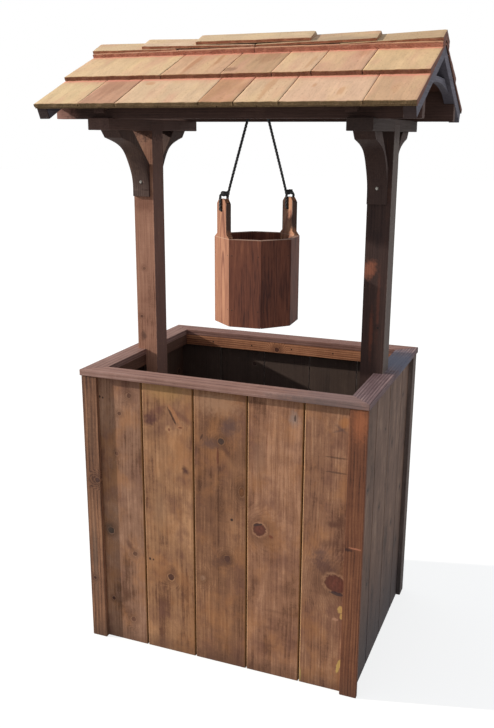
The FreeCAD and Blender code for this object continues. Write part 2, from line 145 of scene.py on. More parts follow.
def timber_finish(name, tones, grain="z", seed=0, spacing=0.007, wander=0.02, ring=0.1, streak=0.35,
                  stain=0.5, rough=0.78, relief=0.0006, marks=(), joints=(), across="x", foot=None,
                  light=1.0, clouds=()):
    """Sawn timber. Tone = middle + streaks drawn out along the grain + slow stains
    - dark late wood + faint saw marks across. A growth ring is the distance from the
    tree's heart over the spacing. A knot adds to that distance, so the grain bends
    round it. Clouds are (tone, strength) stains in large soft patches. Joints move the
    pattern from board to board."""
    f = Finish(name)
    calc, step, blend, noise = f.calc, f.step, f.blend, f.noise
    rng = np.random.default_rng(seed + 100)
    lay = f.add("Mapping", {"Vector": f.place, "Rotation": GRAIN_TURN[grain]}).outputs[0]
    if joints:
        coordinate = f.parts(f.place)["xyz".index(across)]
        number = 0.0
        for joint in joints:
            number = calc("ADD", calc("GREATER_THAN", coordinate, joint), number)
        board_shift = {0: calc("MULTIPLY", number, 3.7), 1: calc("MULTIPLY", number, 0.31)}
        lay = f.vector("ADD", lay, f.add("CombineXYZ", board_shift).outputs[0])
    shift = tuple(rng.uniform(1, 9, 3))
    lay = f.vector("ADD", lay, shift)
    wobble = calc("MULTIPLY", calc("SUBTRACT", noise(f.place, (95, 95, 95), 4.0, 0.7), 0.5), 1.3)

    spots = []
    push = 0.0
    for kind, at, size, tilt, tone, strength in marks:
        turn = (tilt, 0, 0) if across == "y" else (0, tilt, 0)
        plugs = {"Vector": f.place, "Location": at, "Rotation": turn, "Scale": size}
        far = f.vector("LENGTH", f.add("Mapping", plugs, vector_type="TEXTURE").outputs[0])
        far = calc("ADD", far, wobble if kind != "knot" else calc("MULTIPLY", wobble, 0.75))
        spots.append((kind, far, tone, strength))
        if kind == "knot":
            push = calc("ADD", push, step(far, 0.6, 5.0, 0.035, 0.0))

    swayed = f.swayed(lay, (1.6, 6, 6), (0, wander, wander))
    heart = tuple(rng.uniform(-0.09, 0.09, 2) - np.array(shift[1:]))
    trunk = f.vector("MULTIPLY", f.vector("ADD", swayed, (0.0, heart[0], heart[1])), (0.015, 1, 1))
    late = f.late_wood(calc("ADD", f.vector("LENGTH", trunk), push), spacing, 0.88)

    drawn = noise(swayed, (5, 210, 210), 5.0, 0.66)
    fine = noise(lay, (40, 1100, 1100))
    slow = noise(lay, (5, 16, 16), 4.0, 0.6)
    sawn = noise(lay, (330, 9, 9), 1.0)
    smudge = noise(swayed, (24, 18, 18), 5.0, 0.7)
    flecks = noise(lay, (260, 700, 700), 2.0, 0.6)
    tone = f.vary(0.5, (drawn, 2.2 * streak), (slow, 2.2 * stain), (fine, 0.5 * streak),
                  (sawn, 0.25 * streak), (smudge, 0.9 * stain), (flecks, 0.9 * streak))
    tone = calc("MULTIPLY_ADD", calc("SUBTRACT", 0.35, late), ring, tone)

    def lit(screen_tone):
        return tuple(c * light for c in linear(*screen_tone)[:3]) + (1.0,)

    dark, middle, pale = [lit(t) for t in tones]
    colour = blend(step(tone, 0.08, 0.5), dark, middle)
    colour = blend(step(tone, 0.5, 0.95), colour, pale)
    for number, (cloud_tone, strength) in enumerate(clouds):
        cloud = noise(f.vector("ADD", lay, (4.1 * number, 2.3, 1.7)), (7, 9, 9), 5.0, 0.68)
        colour = blend(step(cloud, 0.46, 0.68, 0.0, strength), colour, linear(*cloud_tone))

    for kind, far, mark_tone, strength in spots:
        mark = lit(mark_tone)
        if kind == "knot":
            halo = calc("MULTIPLY", step(far, 0.9, 3.8, 1.0, 0.0), step(drawn, 0.3, 0.65, 0.2, strength))
            colour = blend(halo, colour, dark)
            ring_near = calc("MULTIPLY", step(far, 1.02, 1.18), step(far, 1.22, 1.5, 1.0, 0.0))
            side_light = calc("MULTIPLY", ring_near, step(smudge, 0.35, 0.6, 0.1, 0.75 * strength))
            colour = blend(side_light, colour, pale)
            colour = blend(calc("MULTIPLY", step(far, 0.95, 1.12, 1.0, 0.0), strength), colour, mark)
            core = calc("MULTIPLY", step(far, 0.5, 0.95, 1.0, 0.0), step(wobble, -0.12, 0.2, 0.0, 0.6))
            colour = blend(core, colour, tuple(min(1.0, 2.0 * c) for c in mark[:3]) + (1.0,))
        else:
            edge = 0.15 if kind == "smear" else 0.75
            colour = blend(calc("MULTIPLY", step(far, edge, 1.1, 1.0, 0.0), strength), colour, mark)
    if foot:
        reach, strength, foot_tone = foot
        height = calc("ADD", f.parts(f.place)[2], calc("MULTIPLY", wobble, 0.05))
        low = calc("MULTIPLY", step(height, 0.0, reach, 1.0, 0.0), strength)
        colour = blend(low, colour, lit(foot_tone))
    height = calc("MULTIPLY_ADD", late, -0.35, calc("MULTIPLY_ADD", fine, 0.35, drawn))
    return f.close(colour, f.vary(rough, (drawn, -0.3)), height, 0.7, relief, 0.32)


def dress(node, finish, edge=0.0012):
    """Gives a CAD piece its finish and takes the sharpness off its sawn edges."""
    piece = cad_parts[node]
    piece.data.materials.clear()
    piece.data.materials.append(finish)
    piece.modifiers.new("joined", "WELD").merge_threshold = 0.00002
    if edge:
        bevel = piece.modifiers.new("worn_edges", "BEVEL")
        bevel.width = edge
        bevel.segments = 2
        bevel.limit_method = "ANGLE"
        bevel.angle_limit = math.radians(28)
    return piece


def timber(node, tones, grain, seed, edge=0.0012, **kind):
    """Dresses the CAD piece in timber of its own."""
    dress(node, timber_finish(node, tones, grain, seed, **kind), edge)


# Half the size of a mark that reaches past the ends of any piece.
ALL = 9


def knot(x, z, r, tone=(58, 30, 22), strength=0.9, tall=1.0, tilt=0.0):
    """A knot on a face square to y, right through the board."""
    return ("knot", (x, 0, z), (r, ALL, r * tall), tilt, tone, strength)


def smear(x, z, rx, rz, tone=(92, 60, 48), strength=0.6, tilt=0.0):
    """A soft-edged stain, half its width and height given."""
    return ("smear", (x, 0, z), (rx, ALL, rz), tilt, tone, strength)


def chip(x, z, rx, rz, tone=(200, 160, 96), strength=0.9, tilt=0.0):
    """A mark with a crisp edge, half its width and height given."""
    return ("chip", (x, 0, z), (rx, ALL, rz), tilt, tone, strength)


BROWN, PURPLE, BLACKENED = (96, 60, 44), (98, 70, 62), (58, 42, 38)
front_boards = [
    (((102, 67, 46), (150, 109, 84), (180, 135, 106)), [
        chip(-0.393, 0.826, 0.0035, 0.0045, (46, 28, 22)), chip(-0.382, 0.824, 0.003, 0.004, (46, 28, 22)),
        chip(-0.397, 0.813, 0.003, 0.004, (46, 28, 22)), knot(-0.326, 0.78, 0.006, (86, 54, 40), 0.7),
        knot(-0.291, 0.841, 0.007, (86, 54, 40), 0.7), knot(-0.341, 0.648, 0.006, (90, 56, 42), 0.6),
        knot(-0.371, 0.383, 0.010, (58, 46, 38)), smear(-0.378, 0.39, 0.02, 0.03, (104, 84, 70), 0.5),
        knot(-0.287, 0.317, 0.007, (84, 54, 40), 0.7),
        smear(-0.306, 0.342, 0.014, 0.026, BROWN, 0.7, -0.5), knot(-0.30, 0.08, 0.008, (90, 54, 40), 0.6),
        smear(-0.319, 0.107, 0.022, 0.028, BROWN, 0.5, -0.4), knot(-0.371, 0.141, 0.006),
    ]),
    (((107, 68, 46), (162, 116, 81), (194, 143, 102)), [
        smear(-0.165, 0.87, 0.10, 0.045, (180, 136, 84), 0.6),
        smear(-0.205, 0.803, 0.06, 0.013, (116, 72, 56), 0.7, -0.45),
        smear(-0.115, 0.797, 0.05, 0.012, (120, 76, 58), 0.6, 0.6),
        smear(-0.22, 0.776, 0.032, 0.026, (92, 54, 46), 0.95, -0.3),
        smear(-0.215, 0.73, 0.04, 0.035, BROWN, 0.35),
        chip(-0.142, 0.80, 0.009, 0.036, (186, 124, 82), 0.5, -0.55),
        chip(-0.148, 0.795, 0.004, 0.032, (66, 40, 28), 0.85, -0.5),
        smear(-0.16, 0.752, 0.014, 0.014, (196, 146, 104), 0.7),
        chip(-0.158, 0.751, 0.004, 0.005, (120, 66, 46), 0.8),
        smear(-0.125, 0.763, 0.014, 0.008, (190, 132, 90), 0.7),
        chip(-0.121, 0.762, 0.006, 0.003, (110, 60, 40), 0.8),
        smear(-0.104, 0.655, 0.014, 0.02, (170, 118, 84), 0.5),
        smear(-0.106, 0.628, 0.014, 0.018, (86, 52, 42), 0.95, -0.4),
        knot(-0.161, 0.261, 0.010, (70, 40, 30)), smear(-0.155, 0.285, 0.02, 0.03, BROWN, 0.6, -0.3),
        chip(-0.234, 0.311, 0.004, 0.005, (50, 28, 22)), chip(-0.222, 0.31, 0.003, 0.004, (50, 28, 22)),
        smear(-0.195, 0.47, 0.03, 0.12, (160, 122, 90), 0.4),
    ]),
    (((90, 56, 36), (132, 90, 63), (168, 120, 85)), [
        knot(0.01, 0.737, 0.0095, (62, 44, 36)), smear(0.03, 0.706, 0.012, 0.03, BROWN, 0.8, -0.6),
        smear(0.0, 0.85, 0.10, 0.045, (176, 132, 100), 0.75),
        smear(0.038, 0.785, 0.042, 0.034, PURPLE, 0.8, -0.5),
        smear(-0.025, 0.725, 0.04, 0.022, PURPLE, 0.7), smear(-0.03, 0.50, 0.03, 0.14, BROWN, 0.3),
        smear(0.045, 0.66, 0.02, 0.05, (158, 112, 78), 0.4, -0.4),
        chip(0.0, 0.688, 0.004, 0.03, (96, 44, 30), 0.7),
        chip(-0.052, 0.743, 0.003, 0.012, (60, 34, 26), 0.7, 0.4),
        chip(0.045, 0.495, 0.0045, 0.0045, (32, 20, 18)),
        knot(0.076, 0.589, 0.008, (104, 64, 36), 0.8, 1.6), knot(0.03, 0.364, 0.009, (74, 44, 32)),
        smear(0.01, 0.35, 0.05, 0.03, (86, 56, 46), 0.7, -0.3),
        knot(-0.051, 0.282, 0.009, (150, 112, 86), 0.6), smear(-0.056, 0.543, 0.02, 0.03, BROWN, 0.35),
    ]),
    (((107, 69, 47), (153, 107, 79), (185, 135, 102)), [
        smear(0.233, 0.836, 0.020, 0.030, (150, 132, 122), 0.6),
        chip(0.236, 0.838, 0.003, 0.012, (60, 38, 30), 0.8), knot(0.133, 0.479, 0.0185, (92, 50, 38), 0.9),
        chip(0.128, 0.494, 0.016, 0.004, BLACKENED, 0.8, -0.3),
        chip(0.169, 0.463, 0.007, 0.005, (118, 62, 42), 0.8, 0.5),
        smear(0.12, 0.31, 0.018, 0.022, BROWN, 0.5), smear(0.213, 0.299, 0.022, 0.03, BROWN, 0.45),
        smear(0.18, 0.16, 0.05, 0.008, BROWN, 0.3), smear(0.18, 0.22, 0.05, 0.007, BROWN, 0.3),
        smear(0.17, 0.10, 0.05, 0.008, BROWN, 0.3), smear(0.13, 0.70, 0.03, 0.10, (158, 118, 90), 0.35),
    ]),
    (((99, 63, 45), (146, 102, 75), (177, 130, 97)), [
        smear(0.379, 0.842, 0.022, 0.026, (178, 116, 66), 0.7),
        smear(0.368, 0.825, 0.03, 0.006, PURPLE, 0.6, 0.6),
        smear(0.366, 0.82, 0.03, 0.005, PURPLE, 0.6, -0.4),
        chip(0.361, 0.739, 0.034, 0.003, (74, 48, 38), 0.6),
        chip(0.36, 0.695, 0.034, 0.003, (74, 48, 38), 0.6),
        smear(0.335, 0.40, 0.055, 0.034, (98, 66, 58), 0.85, 0.5),
        smear(0.32, 0.44, 0.03, 0.02, PURPLE, 0.6),
        knot(0.368, 0.352, 0.031, (92, 48, 36), 0.92, 0.8, 0.4),
        chip(0.375, 0.321, 0.024, 0.006, (54, 38, 40), 0.85, 0.1),
        smear(0.36, 0.538, 0.034, 0.014, BROWN, 0.85), smear(0.345, 0.475, 0.04, 0.018, BROWN, 0.5, -0.2),
        chip(0.385, 0.272, 0.008, 0.013), chip(0.389, 0.252, 0.005, 0.010),
        chip(0.371, 0.238, 0.010, 0.005, (190, 140, 110), 0.7),
        chip(0.386, 0.084, 0.006, 0.024, (206, 170, 96), 0.85, 0.25),
        chip(0.268, 0.024, 0.004, 0.024, (196, 164, 96), 0.9),
    ]),
]
board_edges = (-0.4157, -0.2488, -0.0782, 0.0924, 0.263, 0.4157)
for number, (tones, marks) in enumerate(front_boards, 1):
    left_edge, right_edge = board_edges[number - 1:number + 1]
    # Each board's left edge gets a pale strip of painted highlight, where the sun catches the eased edge; the
    # right edge keeps the darker olive colour of the joint.
    lit_edge_and_joint_marks = [
        chip(left_edge + 0.0015, 0.45, 0.0032, ALL, (196, 150, 104), 0.7 if number > 3 else 0.35),
        chip(right_edge - 0.0015, 0.45, 0.0036, ALL, (128, 86, 44), 0.85)]
    timber(
        "front_board_%d" % number, tones, "z", number, marks=marks + lit_edge_and_joint_marks,
        foot=(0.07, 0.45, (74, 50, 38)), ring=0.13, streak=0.42 if number < 3 else 0.62,
        stain=0.68 if number == 3 else 0.85, clouds=(((112, 72, 58), 0.6), ((178, 120, 74), 0.5)))

# Side and back boards. The same boards close the other three sides. They get less
# sun, so their stain has gone a flat taupe grey, darker towards the bottom.
TAUPE = ((67, 52, 44), (122, 95, 80), (159, 129, 109))
SIDE_JOINTS = (-0.165, 0.008, 0.182)


def on_side(mark):
    """The same mark on a face square to x, with its x read as y."""
    kind, (y, _, z), (wide, through, high), tilt, tone, strength = mark
    return (kind, (0, y, z), (through, wide, high), tilt, tone, strength)


def painted_inner_shade(place):
    """Painted shade: a dark band over the inner face of the boards that lie around the place."""
    return chip(place, 0.5, 0.016, ALL, (40, 30, 26), 0.7)


side_knots = [
    [(0.62, -0.24, 0.006), (0.30, -0.20, 0.007), (0.80, -0.28, 0.004)],
    [(0.50, -0.08, 0.006), (0.22, -0.12, 0.005), (0.74, -0.04, 0.005)],
    [(0.66, 0.07, 0.007), (0.36, 0.12, 0.006), (0.14, 0.06, 0.005)],
    [(0.44, 0.24, 0.006), (0.78, 0.21, 0.005), (0.25, 0.22, 0.006)],
]
for number, places in enumerate(side_knots, 1):
    marks = [on_side(knot(y, z, r, (44, 34, 32), 0.85)) for z, y, r in places]
    marks.append(painted_inner_shade(0.406))
    marks += [on_side(chip(y, 0.45, 0.0026, ALL, (58, 44, 38), 0.75)) for y in SIDE_JOINTS]
    timber(
        "right_board_%d" % number, TAUPE, "z", 20 + number, marks=marks, across="y",
        foot=(0.42, 0.85, (50, 46, 50)), light=1.0 + 0.05 * math.cos(2.4 * number),
        streak=0.22, stain=0.6, ring=0.10)

left_knots = [
    (-0.25, 0.52, 0.012), (-0.21, 0.18, 0.008), (-0.10, 0.71, 0.010), (-0.05, 0.33, 0.007),
    (0.06, 0.58, 0.009), (0.12, 0.15, 0.012), (0.22, 0.42, 0.008), (0.27, 0.75, 0.010)]
left_marks = [on_side(knot(y, z, r, (60, 36, 28), 0.85)) for y, z, r in left_knots]
timber(
    "left_boards", ((92, 62, 46), (126, 92, 72), (148, 112, 90)), "z", 31,
    marks=[painted_inner_shade(-0.406)] + left_marks, across="y",
    joints=SIDE_JOINTS, foot=(0.12, 0.5, (70, 50, 40)))

back_knots = [
    (-0.36, 0.66, 0.011), (-0.31, 0.24, 0.008), (-0.20, 0.48, 0.013), (-0.13, 0.80, 0.007),
    (-0.02, 0.31, 0.010), (0.05, 0.62, 0.012), (0.12, 0.12, 0.008), (0.18, 0.44, 0.009),
    (0.31, 0.70, 0.012), (0.37, 0.21, 0.010)]
back_marks = [knot(x, z, r, (56, 36, 30), 0.85) for x, z, r in back_knots]
timber(
    "back_boards", ((84, 66, 56), (118, 94, 80), (142, 116, 98)), "z", 33,
    marks=[on_side(painted_inner_shade(0.298))] + back_marks,
    joints=(-0.263, -0.0924, 0.0782, 0.2488), foot=(0.2, 0.6, (58, 50, 46)))

# Corner trims. Straight-grained strips, nailed over the board ends. The right front
# one is a redder board than the left, and the side trim's inner half is left rough.
timber(
    "front_trim_left", ((75, 46, 34), (126, 86, 62), (166, 118, 86)), "z", 41,
    streak=0.6, ring=0.3, spacing=0.009, foot=(0.1, 0.5, (60, 46, 38)), marks=[
        smear(-0.42, 0.70, 0.02, 0.12, (70, 48, 38), 0.5),
        smear(-0.425, 0.3, 0.012, 0.2, (132, 108, 90), 0.4),
        knot(-0.405, 0.555, 0.008, (70, 44, 36), 0.8), knot(-0.43, 0.21, 0.005)])
timber(
    "front_trim_right", ((69, 40, 27), (112, 67, 45), (137, 88, 58)), "z", 42,
    streak=0.6, ring=0.3, spacing=0.007, foot=(0.1, 0.5, (64, 42, 34)), marks=[
        chip(0.425, 0.481, 0.018, 0.0028, (186, 118, 88), 0.8, 0.05),
        smear(0.404, 0.474, 0.02, 0.007, (58, 32, 26), 0.95),
        smear(0.425, 0.85, 0.03, 0.07, (176, 104, 66), 0.6)])
timber(
    "side_trims", ((58, 50, 46), (98, 82, 74), (128, 110, 100)), "z", 43, across="y",
    streak=0.6, ring=0.15, foot=(0.3, 0.7, (52, 46, 46)),
    marks=[on_side(smear(0.312, 0.46, 0.014, 0.9, (130, 112, 102), 0.5))])
timber(
    "back_trims", ((66, 50, 42), (104, 82, 70), (130, 106, 90)), "z", 44,
    streak=0.5, foot=(0.2, 0.5, (58, 48, 42)))

# Cleats and floor. Rough battens screwed round the inside hold the boards, and six
# slats with drain gaps carry the soil. Out of the sun, they keep an orange-brown; the
# side cleats and floor cleats get darker tones as painted shade.
CLEAT_TONES = ((100, 57, 35), (153, 99, 67), (189, 130, 92))
nail_marks = [chip(x, 0.874, 0.003, 0.003, (30, 20, 16), 0.95) for x in (-0.28, -0.13, 0.02, 0.17, 0.32)]
timber(
    "top_cleat_back", CLEAT_TONES, "x", 51, streak=0.5, ring=0.5,
    marks=nail_marks + [knot(-0.035, 0.868, 0.008, (70, 34, 22), 0.9)])
timber("top_cleat_front", CLEAT_TONES, "x", 52, streak=0.5)
# Painted shade: darker tones for the side and floor cleats, which the lamps would light orange.
side_cleats_painted_shade = timber_finish(
    "side_cleats_painted_shade", ((60, 36, 26), (90, 60, 46), (120, 84, 64)), "y", 53, streak=0.5, across="y")
for node in ("top_cleat_left", "top_cleat_right", "floor_cleats"):
    dress(node, side_cleats_painted_shade)
timber("bottom_cleats", CLEAT_TONES, "x", 54, streak=0.5, light=0.7)
timber(
    "floor_slats", ((60, 42, 32), (94, 68, 52), (120, 92, 72)), "x", 55, across="y",
    joints=(-0.205, -0.103, 0.0, 0.103, 0.205))

# Cap rails. Four flat boards, mitred at the corners, nailed down over the boards and
# trims. The stain has worn to a pinkish grey with the grain standing out in ridges.
rails = [
    ("front", "x", 61, ((112, 78, 68), (150, 112, 98), (176, 140, 128)), [
        smear(0.36, 0.9, 0.2, ALL, (116, 96, 94), 0.55),
        ("smear", (0.3, -0.341, 0.9), (0.2, 0.003, ALL), 0.0, (104, 88, 82), 0.6)]),
    ("back", "x", 62, ((96, 64, 56), (130, 92, 80), (156, 118, 106)), []),
    ("left", "y", 63, ((108, 76, 66), (140, 106, 94), (166, 130, 118)), []),
    ("right", "y", 64, ((78, 56, 58), (108, 84, 84), (148, 122, 118)), [
        # Painted shade: a blue-grey patch along the right rail behind the post.
        on_side(smear(0.13, 0.9, 0.16, ALL, (98, 102, 118), 0.85))]),
]
for place, grain, seed, tones, marks in rails:
    ridged, apart = (0.5, 0.0045) if place == "right" else (0.3, 0.008)
    timber(
        "cap_rail_" + place, tones, grain, seed, 0.0016, spacing=apart, ring=ridged, streak=0.45,
        stain=0.5, marks=marks, relief=0.0011, across=grain, wander=0.012)

# Posts. Two square posts stand on the side rails, their inner part running down to
# the floor of the box. The left one is lit tan on its front, with painted shade on its
# right face; the right one's dark tones are partly its stain and partly painted shade,
# with a patch of painted sunlight on its front.
timber(
    "post_left", ((116, 74, 54), (164, 116, 92), (192, 142, 114)), "z", 71, 0.0022,
    streak=0.5, ring=0.08, marks=[
        knot(-0.384, 1.18, 0.005, (96, 62, 48), 0.6), knot(-0.362, 1.42, 0.005),
        knot(-0.398, 1.02, 0.005, (80, 46, 36), 0.7), smear(-0.392, 0.955, 0.014, 0.022, (70, 42, 34), 0.7),
        smear(-0.379, 1.385, 0.06, 0.035, (112, 64, 46), 0.5),
        # Painted shade: the first chip darkens the post's right face, which faces away from the sun.
        chip(-0.340, 1.1, 0.006, ALL, (113, 85, 76), 0.8), chip(-0.379, 1.68, ALL, 0.1, (84, 58, 50), 0.85)])
# The dark tones below stand partly for painted shade.
timber(
    "post_right", ((37, 23, 21), (59, 39, 33), (94, 60, 46)), "z", 72, 0.0022,
    streak=0.35, ring=0.08, marks=[
        # Painted light: a pale orange patch of sunlight on the front of the post.
        smear(0.358, 1.222, 0.03, 0.036, (156, 92, 66), 0.75, 0.5),
        smear(0.372, 1.03, 0.008, 0.1, (120, 64, 44), 0.6),
        smear(0.39, 1.12, 0.007, 0.14, (110, 60, 44), 0.5),
        knot(0.392, 1.05, 0.004, (30, 18, 16)), chip(0.4150, 1.1, 0.0022, ALL, (112, 98, 90), 0.85),
        chip(0.379, 1.68, ALL, 0.1, (60, 42, 36), 0.85)])

# Head beams and braces. A beam lies across each post's head, held between its cheeks,
# and a sawn curved brace runs up to it in front and behind, with one screw through its
# foot. All of it has a heavy dark brown stain; on the left the beam and braces are
# painted lighter and on the right darker, as painted light and shade.
DARK = ((50, 34, 30), (72, 52, 45), (94, 70, 58))
# Painted light and shade: the left beam's tones are brightened and the right's darkened, and the braces'
# tones likewise.
braced = [
    ("left", 81, 1.95, ((53, 38, 34), (82, 61, 53), (107, 82, 69))),
    ("right", 82, 0.6, ((46, 30, 27), (66, 47, 41), (86, 64, 53))),
]
for side, seed, beam_light, brace_tones in braced:
    timber("head_beam_" + side, DARK, "y", seed, 0.002, across="y", ring=0.05, light=beam_light)
    for number, place in enumerate(("front", "back"), 1):
        node = "brace_%s_%s" % (side, place)
        timber(node, brace_tones, "z", seed + 4 * number, 0.0018, across="y", ring=0.08)


def steel_finish(name, shine=0.45, rust=0.5, greys=((104, 100, 96), (168, 164, 156)), recess=None):
    """Zinc-plated steel gone dull: cloudy grey, with rust where slow noise is high, and
    dark painted shade within 2.4 mm of a recess, whose place is given in x, on both sides, and z."""
    f = Finish(name)
    cloud = f.noise(f.place, (300, 300, 300), 3.0)
    rusty = f.step(f.noise(f.place, (140, 140, 140), 4.0, 0.7), 0.5, 0.66, 0.0, rust)
    colour = f.blend(f.step(cloud, 0.3, 0.7), linear(*greys[0]), linear(*greys[1]))
    colour = f.blend(rusty, colour, linear(104, 58, 34))
    # Painted shade: a dark disc in the screw head's recess.
    if recess:
        x, _, z = f.parts(f.place)
        aside = f.calc("SUBTRACT", f.calc("ABSOLUTE", x), recess[0])
        above = f.calc("SUBTRACT", z, recess[1])
        square = f.calc("ADD", f.calc("MULTIPLY", aside, aside), f.calc("MULTIPLY", above, above))
        colour = f.blend(f.calc("LESS_THAN", f.calc("SQRT", square), 0.0024), colour, linear(34, 26, 24))
    rough = f.calc("MULTIPLY_ADD", rusty, 0.4, shine)
    return f.close(colour, rough, cloud, 0.4, 0.0002, metallic=f.calc("SUBTRACT", 0.9, rusty))


dress("brace_screws", steel_finish("screw_steel", 0.4, 0.1, recess=(0.379, 1.455)), 0.0006)

# Roof timbers. Eave beams are let in over the head beams, and with the ridge beam,
# the inner and barge rafters and the arched collars they carry the shakes. The beams
# are dark brown; the rafters' faces have weathered to grey, with a blue tint that is
# painted sky light.
BEAM_TONES = ((54, 37, 32), (80, 56, 48), (104, 76, 66))
# Grey weathered wood, with a blue tint that is painted sky light from the shade.
GREY = ((67, 64, 71), (103, 98, 107), (131, 124, 132))
PITCH = math.radians(25.0)
TAIL_Y = 0.3645
TAIL_Z = 1.6690
# Painted light: a pale patch of sunlight on the front eave beam's left end.
painted_sunlit_end = smear(-0.53, 1.66, 0.075, ALL, (178, 128, 112), 0.9)
for node, seed in (("eave_beam_front", 91), ("eave_beam_back", 92), ("ridge_beam", 93)):
    marks = [painted_sunlit_end] if node == "eave_beam_front" else []
    timber(node, BEAM_TONES, "x", seed, 0.002, streak=0.4, marks=marks)
shadow = on_side(chip(0.17, 1.7, 0.16, ALL, (38, 30, 28), 0.9))
for side, inner_seed, barge_seed in (("left", 94, 102), ("right", 95, 106)):
    node = "inner_rafters_" + side
    timber(node, BEAM_TONES, "y", inner_seed, 0.002, across="y", streak=0.4, marks=[shadow])
    for number, (place, hand) in enumerate((("front", -1), ("back", 1))):
        sawn_end = []
        for deep in (0.000, 0.006, 0.012, 0.018, 0.024, 0.031):
            y = hand * (TAIL_Y - deep * math.sin(PITCH))
            z = TAIL_Z - deep * math.cos(PITCH)
            sawn_end.append(on_side(chip(y, z, 0.0030, 0.0056, (58, 42, 38), 0.95)))
        timber(
            "barge_%s_%s" % (side, place), GREY, "y", barge_seed + number, 0.0015, across="y",
            ring=0.08, marks=sawn_end)
    timber("gable_arch_" + side, GREY, "y", barge_seed + 11, 0.0015, across="y", ring=0.08)

# Shakes. Split cedar shingles, nailed in two courses on each slope, the lower one on
# a layer of short starters. Their faces have the furrows of the split, and their
# butts are rough and dark from the weather.
APEX = 1.8387
ROOF_X = 0.536
HALF_GAP = 0.0012


def on_slope(x, s, t, side):
    """Where a point s down the slope and t square out of it stands; side is -1 in
    front and 1 behind."""
    y = s * math.cos(PITCH) + t * math.sin(PITCH)
    return np.stack([x, side * y, APEX - s * math.sin(PITCH) + t * math.cos(PITCH)], axis=-1)


def waves(x, rng, count, longest, shortest):
    """A sum of sines with random phases, their heights shrinking with their length."""
    lengths = np.geomspace(longest, shortest, count)
    total = np.zeros_like(x)
    for length in lengths:
        total = total + (length / longest) ** 0.6 * np.sin(2 * np.pi * x / length + rng.uniform(0, 2 * np.pi))
    return total / np.sqrt(count)


def closed_tube(rings):
    """Vertices, and faces in two blocks, of a tube of rings with a fan at each end."""
    count, around = rings.shape[:2]
    grid = np.arange(count * around).reshape(count, around)
    following = np.roll(grid, -1, axis=1)
    quads = np.stack([grid[:-1], following[:-1], following[1:], grid[1:]], axis=-1).reshape(-1, 4)
    ends = np.stack([rings[0].mean(0), rings[-1].mean(0)])
    first, last = count * around, count * around + 1
    start_fan = np.stack([following[0], grid[0], np.full(around, first)], axis=-1)
    end_fan = np.stack([grid[-1], following[-1], np.full(around, last)], axis=-1)
    vertices = np.concatenate([rings.reshape(-1, 3), ends])
    return vertices, (quads, np.concatenate([start_fan, end_fan]))


def board_shell(x, s, t, grain, face, down, end_wear, side, tone):
    """A board on the slope as a closed shell that faces outward, with its attributes:
    grain is the place in the wood, and shade holds the face (0 below, 1 on top), the
    weather (1 on the butt) and how far down its length a vertex lies."""
    rings = on_slope(x, s, t, side)
    if side < 0:
        rings, grain = rings[::-1], grain[::-1]
    vertices, faces = closed_tube(rings)
    grain = np.concatenate([grain.reshape(-1, 3), grain[0].mean(0)[None], grain[-1].mean(0)[None]])
    butt = np.where((face > 0.001) & (face < 0.999), 1.0, 0.0)
    shade = np.concatenate([
        np.tile(np.stack([face, butt, down], -1), (len(x), 1)), [[1, end_wear, 0], [1, end_wear, 0]]])
    own = np.tile(linear(*tone)[:3], (len(vertices), 1))
    return vertices, faces, {"grain": grain, "shade": shade, "own": own}


def split_board(x0, x1, line, side, seed, tone, furrow=0.0004, ragged=0.0012, steps=(34, 30)):
    """One shake as a closed shell. Its section is the line's four (s, t) corners, gone
    round in small steps. Across x, the top is raised by furrow times waves(x) that sway
    with s, the butt runs in and out by ragged times waves(x), and the side edges sway."""
    rng = np.random.default_rng(seed)
    columns, rows = max(8, int((x1 - x0) / 0.2 * steps[0])), steps[1]
    head_under, butt_under, butt_top, head_top = np.array(line, float)
    under = head_under + (butt_under - head_under) * np.linspace(0, 1, 5)[:-1, None]
    butt = butt_under + (butt_top - butt_under) * np.linspace(0, 1, 7)[:-1, None]
    top = butt_top + (head_top - butt_top) * np.linspace(0, 1, rows)[:, None] ** 0.8
    loop = np.concatenate([under, butt, top])
    down = (loop[:, 0] - head_top[0]) / (butt_top[0] - head_top[0])
    face = np.concatenate([np.zeros(4), np.linspace(0, 1, 7)[:-1], np.ones(rows)])
    arris = 0.0009 / (x1 - x0)
    across = np.concatenate([[0, arris], np.linspace(0, 1, columns)[1:-1], [1 - arris, 1]])[:, None]
    x = x0 + (x1 - x0) * across + 0.0005 * np.sin(9 * loop[:, 0] / 0.1 + rng.uniform(0, 6)) * (0.5 - across)
    s = np.broadcast_to(loop[:, 0], x.shape)
    t = np.broadcast_to(loop[:, 1], x.shape)
    sway = 0.004 * np.sin(s / 0.07 + rng.uniform(0, 6)) + 0.010 * s
    lift = waves(x + sway, rng, 7, 0.045, 0.0042)
    ripple = waves(x + 1.3 * sway + 0.1, rng, 3, 0.012, 0.0035)
    lift = lift + 0.7 * ripple * np.sin(s / 0.03 + rng.uniform(0, 6))
    t = t + face * furrow * lift
    edge = np.minimum(across, 1 - across) * (x1 - x0)
    t = t - face * 0.0006 * np.exp(-edge / 0.0008)
    uneven = waves(x[:, :1], rng, 6, 0.11, 0.006)
    broken = 0.5 * waves(x + 40 * (t - butt_under[1]), rng, 4, 0.012, 0.003) * (face > 0) * (face < 1)
    s = s + np.clip((down - 0.9) / 0.1, 0, 1) * ragged * (uneven + broken)
    t = t + face * rng.uniform(-0.0008, 0.0012) * (2 * across - 1) ** 2 * down
    shift = rng.uniform(0, 5, 3)
    grain = np.stack([s + shift[0], x + 0.05 * sway + shift[1], t + shift[2]], axis=-1)
    return board_shell(x, s, t, grain, face, down, 0.5, side, tone)


